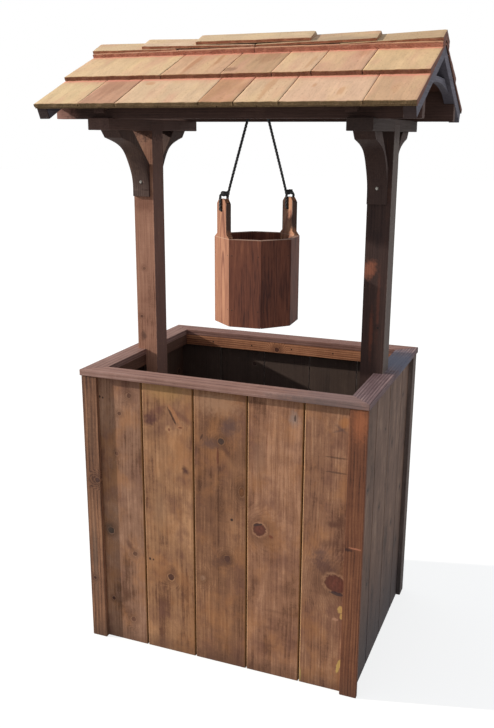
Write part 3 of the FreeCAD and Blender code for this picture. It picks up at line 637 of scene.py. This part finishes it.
def add_piece(name, parts, body, finish):
    """One object out of (vertices, faces) or (vertices, faces, attributes) parts, riding
    on its body. An attribute is an array of vectors, one for each vertex."""
    faces, base = [], 0
    for part in parts:
        for block in part[1]:
            faces += (block + base).tolist()
        base += len(part[0])
    mesh = bpy.data.meshes.new(name)
    mesh.from_pydata(np.concatenate([part[0] for part in parts]).tolist(), [], faces)
    if len(parts[0]) > 2:
        for key in parts[0][2]:
            layer = mesh.attributes.new(key, "FLOAT_VECTOR", "POINT")
            layer.data.foreach_set("vector", np.concatenate([part[2][key] for part in parts]).ravel())
    mesh.polygons.foreach_set("use_smooth", [True] * len(mesh.polygons))
    mesh.set_sharp_from_angle(angle=math.radians(42))
    mesh.materials.append(finish)
    piece = bpy.data.objects.new(name, mesh)
    bpy.context.collection.objects.link(piece)
    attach(piece, body)
    return piece


def shake_finish(name, butt, low_tone, head=0.0, stains=()):
    """Split cedar. Each shake has its own colour, a little darker or paler in faint
    streaks along the split and in slow stains, rosy in patches, with small dark specks.
    The butt is darker with pale broken fibres, and its colour creeps up the face. Just
    below the piece above, at the head, a rosy band is painted shadow from that piece's
    butt; undersides are darkened as painted shade, and gable ends are dark. A stain has
    its place x and s on the front slope, half its width and length,
    a colour and a strength."""
    f = Finish(name)
    calc, step, blend, noise = f.calc, f.step, f.blend, f.noise
    lay = f.add("Attribute", attribute_name="grain").outputs["Vector"]
    own = f.add("Attribute", attribute_name="own").outputs["Color"]
    face, weather, down = f.parts(f.add("Attribute", attribute_name="shade").outputs["Vector"])
    drawn = noise(lay, (5, 210, 210), 4.0, 0.65)
    fine = noise(lay, (30, 900, 900), 3.0)
    slow = noise(lay, (9, 24, 24), 4.0, 0.62)
    grain = noise(lay, (240, 520, 520), 2.0, 0.6)
    tone = f.vary(1.0, (drawn, 0.42), (slow, 0.55), (fine, 0.22), (grain, 0.25))
    level = f.add("CombineColor", {0: tone, 1: tone, 2: tone}).outputs[0]
    colour = blend(1.0, own, level, "MULTIPLY")
    rosy = noise(lay, (5, 16, 16), 3.0, 0.6)
    colour = blend(step(rosy, 0.48, 0.7, 0.0, 0.5), colour, linear(206, 152, 124))
    yellow = noise(f.vector("ADD", lay, (3, 5, 7)), (5, 14, 14), 3.0)
    colour = blend(step(yellow, 0.5, 0.7, 0.0, 0.4), colour, linear(222, 188, 138))
    for x, s, wide, long, stain, strength in stains:
        aside = f.vector("ADD", f.place, (-x, s * math.cos(PITCH), 0))
        reach = f.vector("LENGTH", f.vector("MULTIPLY", aside, (1 / wide, 1 / long, 0)))
        reach = calc("MULTIPLY_ADD", calc("SUBTRACT", calc("ADD", slow, drawn), 1.0), 1.6, reach)
        colour = blend(step(reach, 0.55, 1.1, strength, 0.0), colour, linear(*stain))
    specks = noise(lay, (170, 330, 330), 1.0)
    colour = blend(calc("MULTIPLY", step(specks, 0.64, 0.70), 0.5), colour, linear(126, 84, 58))
    # Painted shadow: a rosy band on the face just below the butt of the piece above.
    if head:
        colour = blend(step(down, head, head + 0.12, 0.3, 0.0), colour, linear(218, 146, 120))
        colour = blend(step(down, head + 0.015, head + 0.04, 0.65, 0.0), colour, linear(230, 148, 126))
    lip = f.vary(down, (drawn, 0.03))
    colour = blend(step(lip, 0.985, 1.0, 0.0, 0.7), colour, linear(*low_tone))
    butt_colour = blend(step(grain, 0.35, 0.6), linear(*butt[0]), linear(*butt[1]))
    butt_colour = blend(step(fine, 0.58, 0.7), butt_colour, linear(*butt[2]))
    colour = blend(weather, colour, butt_colour)
    gable_end = step(calc("ABSOLUTE", f.parts(f.place)[0]), 0.5345, 0.5358, 0.0, 0.9)
    colour = blend(gable_end, colour, linear(112, 66, 54))
    # Painted shade: undersides darkened, for shakes and ridge boards alike.
    colour = blend(step(face, 0.0, 0.04, 0.9, 0.0), colour, linear(62, 44, 34))
    rough = calc("MULTIPLY_ADD", drawn, 0.25, 0.62)
    return f.close(colour, rough, calc("MULTIPLY_ADD", fine, 0.4, drawn), 0.5, 0.0005, 0.28)


def course(joints, tones, line, side, seed):
    """The shakes of one course, with half a gap off each side of a joint."""
    edges = [-ROOF_X] + sorted(joints) + [ROOF_X]
    parts = []
    for number, tone in enumerate(tones):
        start = edges[number] + (HALF_GAP if number else 0.0)
        end = edges[number + 1] - (HALF_GAP if number < len(tones) - 1 else 0.0)
        parts.append(split_board(start, end, line, side, seed + number, tone))
    return parts


STARTER = ((0.180, 0.0), (0.404, 0.0), (0.404, 0.0050), (0.180, 0.0017))
LOWER = ((0.060, 0.0001), (0.406, 0.0051), (0.406, 0.0145), (0.060, 0.0023))
UPPER = ((0.006, 0.00035), (0.227, 0.0084), (0.227, 0.0203), (0.006, 0.0075))
starter_joints = [-0.330, -0.150, 0.020, 0.130, 0.310]
lower_joints = [-0.3931, -0.2780, -0.0316, 0.0668, 0.1894, 0.4055]
upper_joints = [-0.2203, -0.0373, 0.1110, 0.2225, 0.3603]
starter_tones = [(150, 112, 82)] * 6
lower_tones = [
    (213, 182, 137), (184, 138, 108), (210, 176, 139), (183, 136, 99), (206, 170, 133),
    (209, 170, 138), (194, 155, 119)]
upper_tones = [
    (212, 178, 136), (200, 158, 122), (182, 144, 108), (206, 168, 132), (198, 154, 122),
    (206, 171, 128)]
lower_cedar = shake_finish(
    "split_cedar_lower", ((86, 66, 46), (132, 104, 68), (214, 184, 142)), (128, 98, 62), 0.49, stains=[
        (0.334, 0.34, 0.012, 0.034, (192, 142, 98), 0.6), (0.252, 0.30, 0.006, 0.016, (188, 136, 96), 0.6),
        (-0.235, 0.265, 0.016, 0.012, (192, 142, 104), 0.7), (0.13, 0.31, 0.012, 0.09, (190, 142, 102), 0.6),
        (0.01, 0.33, 0.02, 0.05, (176, 128, 92), 0.5), (0.47, 0.33, 0.012, 0.04, (190, 142, 102), 0.4),
        (-0.35, 0.30, 0.03, 0.08, (160, 112, 84), 0.5)])
upper_cedar = shake_finish(
    "split_cedar_upper", ((96, 60, 46), (138, 92, 70), (176, 140, 98)), (166, 128, 84), 0.20, stains=[
        (-0.158, 0.13, 0.012, 0.10, (170, 116, 78), 0.65), (-0.088, 0.11, 0.010, 0.09, (172, 120, 80), 0.6),
        (-0.02, 0.20, 0.022, 0.02, (126, 90, 64), 0.6), (0.06, 0.10, 0.03, 0.06, (158, 116, 84), 0.5),
        (0.33, 0.08, 0.02, 0.05, (176, 124, 90), 0.5), (0.20, 0.15, 0.008, 0.06, (182, 136, 96), 0.5)])
slopes = [("front", -1, 1), ("back", 1, -1)]
for name, side, turn in slopes:
    layers = [
        course([turn * joint for joint in joints], tones[::turn], line, side, seed + 50 * side)
        for joints, tones, line, seed in (
            (starter_joints, starter_tones, STARTER, 300), (lower_joints, lower_tones, LOWER, 310),
            (upper_joints, upper_tones, UPPER, 320))]
    lower = add_piece("lower_shakes_" + name, layers[0] + layers[1], "well", lower_cedar)
    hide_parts("shakes_lower_" + name)
    upper = add_piece("upper_shakes_" + name, layers[2], "well", upper_cedar)
    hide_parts("shakes_upper_" + name)

# Ridge covering. A base of two long boards on each side, and over it five pairs of cap
# shakes that overlap from both ends to a middle one. Each pair meets on the apex line.
def ridge_board(reach, first, last, side, seed, tone, furrow=0.0006):
    """A cap shake as a closed shell: a section from the apex line down to its reach,
    lifted evenly from its first end to its last, with split_board's furrows and edge."""
    rng = np.random.default_rng(seed)
    (x0, under0, top0), (x1, under1, top1) = first, last
    columns = max(14, int((x1 - x0) / 0.0065))
    across = np.linspace(0, 1, columns)[:, None]
    under = under0 + (under1 - under0) * across
    top = top0 + (top1 - top0) * across
    out = np.concatenate([np.linspace(0, 1, 6)[:-1], np.ones(5), np.linspace(1, 0, 14)])
    face = np.concatenate([np.zeros(5), np.linspace(0, 1, 6)[:-1], np.ones(14)])
    level = under + (top - under) * face
    x = x0 + (x1 - x0) * across + 0 * out
    sway = 0.004 * np.sin(x / 0.08 + rng.uniform(0, 6))
    apex = -level * math.tan(PITCH)
    s = apex + (reach - apex) * out
    lift = waves(s + sway + 0.02 * x, rng, 6, 0.03, 0.004)
    t = level + (face >= 1) * furrow * lift * np.clip(out * 8, 0, 1)
    s = s + np.clip(out * 4 - 3, 0, 1) * 0.0013 * waves(x, rng, 5, 0.12, 0.008)
    ends = np.minimum(across, 1 - across) * (x1 - x0)
    t = t - (face >= 1) * 0.0010 * np.exp(-ends / 0.002)
    shift = rng.uniform(0, 5, 3)
    grain = np.stack([x + shift[0], s + sway + shift[1], t + shift[2]], axis=-1)
    return board_shell(x, s, t, grain, face, 0.975 * out, 0.8, side, tone)


BASE_TONE = (196, 145, 116)
BASE = [
    (0.048, (-ROOF_X, 0.0101, 0.0200), (-0.001, 0.0101, 0.0240), BASE_TONE),
    (0.048, (0.001, 0.0101, 0.0240), (ROOF_X, 0.0101, 0.0242), BASE_TONE),
]
CAPS = [
    (0.043, (-ROOF_X, 0.0201, 0.0293), (-0.250, 0.0224, 0.0265), (204, 174, 136)),
    (0.039, (-0.365, 0.0277, 0.0372), (-0.0015, 0.0246, 0.0294), (206, 176, 144)),
    (0.033, (-0.187, 0.0335, 0.0427), (0.167, 0.0335, 0.0427), (200, 172, 136)),
    (0.039, (0.0015, 0.0245, 0.0299), (0.356, 0.0283, 0.0371), (176, 148, 117)),
    (0.043, (0.250, 0.0243, 0.0249), (ROOF_X, 0.0243, 0.0338), (177, 148, 113)),
]


def ridge_layer(pieces, seed):
    """A board on each slope for each (reach, first end, last end, tone)."""
    return [
        ridge_board(reach, first, last, side, seed + number + 9 * side, tone)
        for number, (reach, first, last, tone) in enumerate(pieces) for side in (-1, 1)]


base_finish = shake_finish("ridge_base", ((150, 92, 74), (190, 130, 106), (216, 168, 142)), (196, 136, 110))
cap_finish = shake_finish("ridge_cedar", ((134, 80, 60), (172, 112, 84), (206, 158, 124)), (214, 176, 142))
base = add_piece("ridge_base_boards", ridge_layer(BASE, 400), "well", base_finish)
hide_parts("ridge_starters")
caps = add_piece("ridge_cap_shakes", ridge_layer(CAPS, 420), "well", cap_finish)
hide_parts("ridge_caps")

# Bucket. Eight staves of red-brown stained wood in an octagon round a bottom, nailed
# near their edges, with two of them carried up as ears that the rope goes through.
EAR_TURN = math.radians(229.0)
STAVE_TURN = math.pi / 4
STAVE_W = 0.121952
EAR_HALF = 0.032
RIM_Z = 1.300
HANG = 0.006
ear_out = Vector((math.cos(EAR_TURN), math.sin(EAR_TURN), 0.0))
hang = ear_out * HANG


def stave_finish(name, tones, seed, ring=0.14, spacing=0.009, side_shade_tone=None):
    """Timber whose pattern goes round the bucket: along is z, across is the tangent of
    the angle from a stave's middle times STAVE_W, and each stave moves the pattern. The
    rim's top edge is pale, partly end grain and partly painted highlight, and the ears'
    sides take a dark side tone as painted shade."""
    f = Finish(name)
    calc, step, blend, noise = f.calc, f.step, f.blend, f.noise
    x, y, z = f.parts(f.vector("ADD", f.place, (-hang.x, -hang.y, 0)))
    angle = calc("ARCTAN2", y, x)
    first_edge = EAR_TURN - STAVE_TURN / 2
    number = calc("FLOOR", calc("DIVIDE", calc("SUBTRACT", angle, first_edge), STAVE_TURN))
    own = {"W": calc("ADD", number, float(seed))}
    own = f.add("TexWhiteNoise", own, noise_dimensions="1D").outputs["Value"]
    middle_angle = calc("MULTIPLY_ADD", calc("ADD", number, 0.5), STAVE_TURN, first_edge)
    off = calc("MULTIPLY", calc("TANGENT", calc("SUBTRACT", angle, middle_angle)), STAVE_W)
    depth = f.vector("LENGTH", f.add("CombineXYZ", {0: x, 1: y}).outputs[0])
    lay = {0: calc("MULTIPLY_ADD", own, 3.0, z), 1: calc("MULTIPLY_ADD", own, 0.05, off), 2: depth}
    lay = f.add("CombineXYZ", lay).outputs[0]
    swayed = f.swayed(lay, (3, 9, 9), (0.0, 0.02, 0.02))
    heart = f.vector("MULTIPLY", f.vector("ADD", swayed, (-1.6, -0.02, -0.095)), (0.09, 1.0, 1.0))
    late = f.late_wood(f.vector("LENGTH", heart), spacing, 0.85)
    drawn = noise(swayed, (9, 240, 240), 4.0, 0.62)
    fine = noise(lay, (50, 1200, 1200))
    slow = noise(lay, (6, 22, 22), 3.0)
    tone = f.vary(0.5, (drawn, 1.3), (slow, 1.1), (fine, 0.6))
    tone = f.vary(calc("MULTIPLY_ADD", calc("SUBTRACT", 0.35, late), ring, tone), (own, 0.3))
    dark, middle, pale = [linear(*t) for t in tones]
    colour = blend(step(tone, 0.0, 0.5), dark, middle)
    colour = blend(step(tone, 0.5, 1.0), colour, pale)
    # Partly pale end grain and partly painted highlight: a pale line along the rim's top edge.
    rim = step(z, RIM_Z + 0.0006, RIM_Z + 0.0012, 1.0, 0.0)
    rim = calc("MULTIPLY", step(z, RIM_Z - 0.0016, RIM_Z - 0.0006), rim)
    colour = blend(calc("MULTIPLY", rim, 0.65), colour, linear(190, 152, 128))
    if side_shade_tone:
        # Painted shade: the ears' sides darkened to the side tone.
        at_side = calc("GREATER_THAN", calc("ABSOLUTE", off), EAR_HALF - 0.0016)
        flank_shade = calc("MULTIPLY", at_side, step(z, RIM_Z + 0.01, RIM_Z + 0.03))
        colour = blend(calc("MULTIPLY", flank_shade, 0.85), colour, linear(*side_shade_tone))
    height = calc("MULTIPLY_ADD", late, -0.35, drawn)
    return f.close(colour, f.vary(0.68, (drawn, -0.3)), height, 0.6, 0.0005, 0.35)


red_stave = stave_finish("red_staves", ((66, 31, 22), (116, 64, 44), (160, 98, 67)), 3)
dress("bucket_staves", red_stave)
dress("bucket_bottom", red_stave, 0.0008)
ear_finish = stave_finish(
    "ear_staves", ((115, 66, 44), (158, 106, 78), (185, 133, 98)), 7, ring=0.5, spacing=0.0065,
    side_shade_tone=(62, 46, 40))
for side in ("left", "right"):
    dress("ear_stave_" + side, ear_finish)


def nail_heads(places, radius, height):
    """Small domed heads: rings at radius * cos(a), raised by height * sin(a), for four
    angles a from the rim up, closed with a fan at the top and one below."""
    up = np.array([0, 0, 1.0])
    angle = np.linspace(0, 2 * np.pi, 10, endpoint=False)[:, None]
    rise = np.linspace(0, math.pi / 2.3, 4)[:, None, None]
    parts = []
    for place, out in places:
        circle = np.cos(angle) * np.cross(up, out) + np.sin(angle) * up
        rings = place + radius * np.cos(rise) * circle[None]
        parts.append(closed_tube(rings + (height * np.sin(rise) - 0.0003) * out))
    return parts


NAIL_ACROSS = (-0.0415, 0.0405)
NAIL_Z = (1.0865, 1.2515)
nails = []
for number in range(8):
    facing = EAR_TURN + number * STAVE_TURN
    out = np.array([math.cos(facing), math.sin(facing), 0.0])
    along = np.array([-out[1], out[0], 0.0])
    for across in NAIL_ACROSS:
        for z in NAIL_Z:
            nails.append((np.array(hang) + out * STAVE_W + along * across + np.array([0, 0, z]), out))
nail_steel = steel_finish("nail_steel", 0.5, 0.6, ((40, 32, 30), (74, 62, 56)))
add_piece("bucket_nails", nail_heads(nails, 0.0019, 0.0009), "bucket", nail_steel)

# Hook. A screw hook of dull steel rod, turned up into the ridge beam. The middle of
# the rope lies in its bend.
hook = dress("rope_hook", steel_finish("dull_steel"), None)
hook.data.polygons.foreach_set("use_smooth", [True] * len(hook.data.polygons))
hook.modifiers.new("crisp_ends", "EDGE_SPLIT").split_angle = math.radians(35)

# Rope. One black three-strand rope of 8 mm runs from a knot at the left ear, through
# the ear and over the roof hook, to the right ear and its knot. The bucket's weight
# keeps both legs straight.
EAR_W = 0.113951
LOOP_R = 0.0123
HOLE_Z = 1.381
LOOP_Z = 1.417
LEG_Z = 1.427
BIGHT_Z = 1.740
BIGHT_W = 0.005894
half_route = [
    (EAR_W - 0.0012, 1.4315), (EAR_W + LOOP_R, LEG_Z), (EAR_W + LOOP_R, LOOP_Z),
    (EAR_W + LOOP_R, HOLE_Z + LOOP_R), (EAR_W + LOOP_R, HOLE_Z), (EAR_W, HOLE_Z),
    (EAR_W - LOOP_R, HOLE_Z), (EAR_W - LOOP_R, HOLE_Z + LOOP_R), (EAR_W - LOOP_R, LOOP_Z),
    (EAR_W - LOOP_R, LEG_Z), (BIGHT_W + 0.013767, BIGHT_Z - 0.045), (BIGHT_W, BIGHT_Z),
]
rope_route = [hang + ear_out * w + Vector((0, 0, z)) for w, z in half_route]
rope_route += [hang + ear_out * -w + Vector((0, 0, z)) for w, z in reversed(half_route)]


def nurbs_line(points, detail):
    """The points of a smooth cord: a NURBS line of order 3 with the route as its
    control points, read back from a curve without thickness."""
    data = bpy.data.curves.new("route", "CURVE")
    data.dimensions = "3D"
    data.resolution_u = detail
    spline = data.splines.new("NURBS")
    spline.points.add(len(points) - 1)
    for point, place in zip(spline.points, points):
        point.co = (*place, 1.0)
    spline.order_u = 3
    spline.use_endpoint_u = True
    carrier = bpy.data.objects.new("route", data)
    bpy.context.collection.objects.link(carrier)
    bpy.context.view_layer.update()
    mesh = bpy.data.meshes.new_from_object(carrier)
    line = np.empty(len(mesh.vertices) * 3)
    mesh.vertices.foreach_get("co", line)
    bpy.data.objects.remove(carrier)
    return line.reshape(-1, 3)


def even_steps(line, step):
    """The same line with its points a step apart, and how far along it each lies."""
    along = np.concatenate([[0], np.cumsum(np.linalg.norm(np.diff(line, axis=0), axis=1))])
    wanted = np.linspace(0, along[-1], int(along[-1] / step) + 1)
    return np.stack([np.interp(wanted, along, line[:, k]) for k in range(3)], axis=1), wanted


def steady_frame(line):
    """Two directions square to the line at each point. The first one is carried
    along by taking out of it, at each step, what lies along the line."""
    tangent = np.gradient(line, axis=0)
    tangent /= np.linalg.norm(tangent, axis=1)[:, None]
    side = np.empty_like(line)
    last = np.cross(tangent[0], [0.31, 0.52, 0.79])
    for index, direction in enumerate(tangent):
        last = last - direction * last.dot(direction)
        last /= np.linalg.norm(last)
        side[index] = last
    return side, np.cross(tangent, side)


def strand_mesh(line, along, offset, radius, pitch, phase, around, fuzz):
    """Grid of one strand: its centre circles the line once every pitch at the offset,
    and its own skin is a circle of the radius, with a fine rib that winds with it."""
    side, other = steady_frame(line)
    wind = 2 * np.pi * along / pitch + phase
    centre = line + offset * (np.cos(wind)[:, None] * side + np.sin(wind)[:, None] * other)
    turns = np.linspace(0, 2 * np.pi, around, endpoint=False)[None, :]
    skin = radius * (1 + fuzz * np.cos(6 * turns + 5 * wind[:, None]))
    ring = side[:, None, :] * (np.cos(turns) * skin)[..., None]
    ring = ring + other[:, None, :] * (np.sin(turns) * skin)[..., None]
    return centre[:, None, :] + ring


def rope_finish():
    """Black polypropylene gone a little grey: fine fibres along the strands."""
    f = Finish("black_rope")
    fibre = f.noise(f.place, (900, 900, 900), 3.0)
    worn = f.noise(f.place, (60, 60, 60))
    grey = f.calc("MULTIPLY", f.step(fibre, 0.45, 0.75), f.step(worn, 0.35, 0.7))
    return f.close(f.blend(grey, linear(22, 21, 23), linear(78, 76, 78)), 0.55, fibre, 0.5, 0.0004)


black_rope = rope_finish()
rope_line, rope_along = even_steps(nurbs_line(rope_route, 48), 0.0011)
strands = [
    closed_tube(strand_mesh(rope_line, rope_along, 0.0019, 0.0024, 0.030, phase, 14, 0.02))
    for phase in (0.0, 2 * math.pi / 3, 4 * math.pi / 3)]
rope = add_piece("rope_strands", strands, "rope", black_rope)
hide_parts("rope")

# Knots. At each ear the rope's end is hitched round the leg: a little over four turns
# of rope drawn tight, shown as two strands, with the cut end tucked under them.
HITCH_Z = 1.4302
HITCH_TURNS = 4.4
wraps = []
for hand in (1, -1):
    centre = np.array(hang + ear_out * (hand * (EAR_W - 0.0040)) + Vector((0, 0, HITCH_Z)))
    out = np.array(ear_out) * hand
    across = np.array([-ear_out.y, ear_out.x, 0.0])
    angle = np.linspace(0, 2 * np.pi * HITCH_TURNS, 240)
    rise = angle / angle[-1] - 0.5
    swell = (0.0058 + 0.0012 * np.cos(rise * np.pi))[:, None]
    coil = centre + np.cos(angle)[:, None] * out * 1.6 * swell + np.sin(angle)[:, None] * across * swell
    coil[:, 2] += rise * 0.0100 + 0.0008 * np.cos(angle + 0.5)
    wrap, wrap_along = even_steps(coil, 0.0009)
    wraps += [
        closed_tube(strand_mesh(wrap, wrap_along, 0.0015, 0.0020, 0.019, phase, 12, 0.03))
        for phase in (0.4, 0.4 + math.pi)]
hitches = add_piece("rope_hitches", wraps, "rope", black_rope)
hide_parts("rope_knots")

# Lights. Low, warm sunlight from the left, a pale sky all round, and a plain pale
# ground that keeps a soft shadow.
SUN_TURN = math.radians(194.5)
SUN_RISE = math.radians(20.5)
level = math.cos(SUN_RISE)
sun_from = Vector((level * math.cos(SUN_TURN), level * math.sin(SUN_TURN), math.sin(SUN_RISE)))
sun_data = bpy.data.lights.new("sun", "SUN")
sun_data.energy = 4.4
sun_data.angle = math.radians(1.2)
sun_data.color = (1.0, 0.955, 0.89)
sun = bpy.data.objects.new("sun", sun_data)
sun.rotation_euler = sun_from.to_track_quat("Z", "Y").to_euler()
bpy.context.collection.objects.link(sun)


def seen_rays(tree):
    """1 for what the camera sees straight, in gloss or through glass, and else 0."""
    path = new_node(tree, "LightPath").outputs
    either = {0: path["Is Camera Ray"], 1: path["Is Glossy Ray"]}
    either = new_node(tree, "Math", either, operation="MAXIMUM").outputs[0]
    return new_node(tree, "Math", {0: either, 1: path["Is Transmission Ray"]}, operation="MAXIMUM").outputs[0]


sky = bpy.data.worlds.new("sky")
sky.use_nodes = True
bpy.context.scene.world = sky
sky_tree = sky.node_tree
sky_tree.nodes.clear()
sky_light = new_node(sky_tree, "Background", {0: (0.86, 0.95, 1.08, 1.0), 1: 0.64}).outputs[0]
sky_seen = new_node(sky_tree, "Background", {0: (1.0, 1.0, 1.0, 1.0)}).outputs[0]
sky_mix = new_node(sky_tree, "MixShader", {0: seen_rays(sky_tree), 1: sky_light, 2: sky_seen})
new_node(sky_tree, "OutputWorld", {0: sky_mix.outputs[0]})

ground_mesh = bpy.data.meshes.new("ground")
ground_mesh.from_pydata([(-30, -30, 0), (30, -30, 0), (30, 30, 0), (-30, 30, 0)], [], [(0, 1, 2, 3)])
ground = bpy.data.objects.new("ground", ground_mesh)
ground.location.z = -0.0005
bpy.context.collection.objects.link(ground)
ground_finish = bpy.data.materials.new("pale_ground")
ground_finish.use_nodes = True
ground_tree = ground_finish.node_tree
ground_tree.nodes.clear()
ground_matt = new_node(ground_tree, "BsdfDiffuse", {0: (0.30, 0.29, 0.27, 1.0)}).outputs[0]
ground_glow = new_node(ground_tree, "Emission", {0: (0.78, 0.78, 0.78, 1.0), 1: 1.0}).outputs[0]
ground_sum = new_node(ground_tree, "AddShader", {0: ground_glow, 1: ground_matt}).outputs[0]
ground_mix = new_node(ground_tree, "MixShader", {0: seen_rays(ground_tree), 1: ground_matt, 2: ground_sum})
new_node(ground_tree, "OutputMaterial", {0: ground_mix.outputs[0]})
ground_mesh.materials.append(ground_finish)

bpy.context.scene.view_settings.view_transform = "Standard"
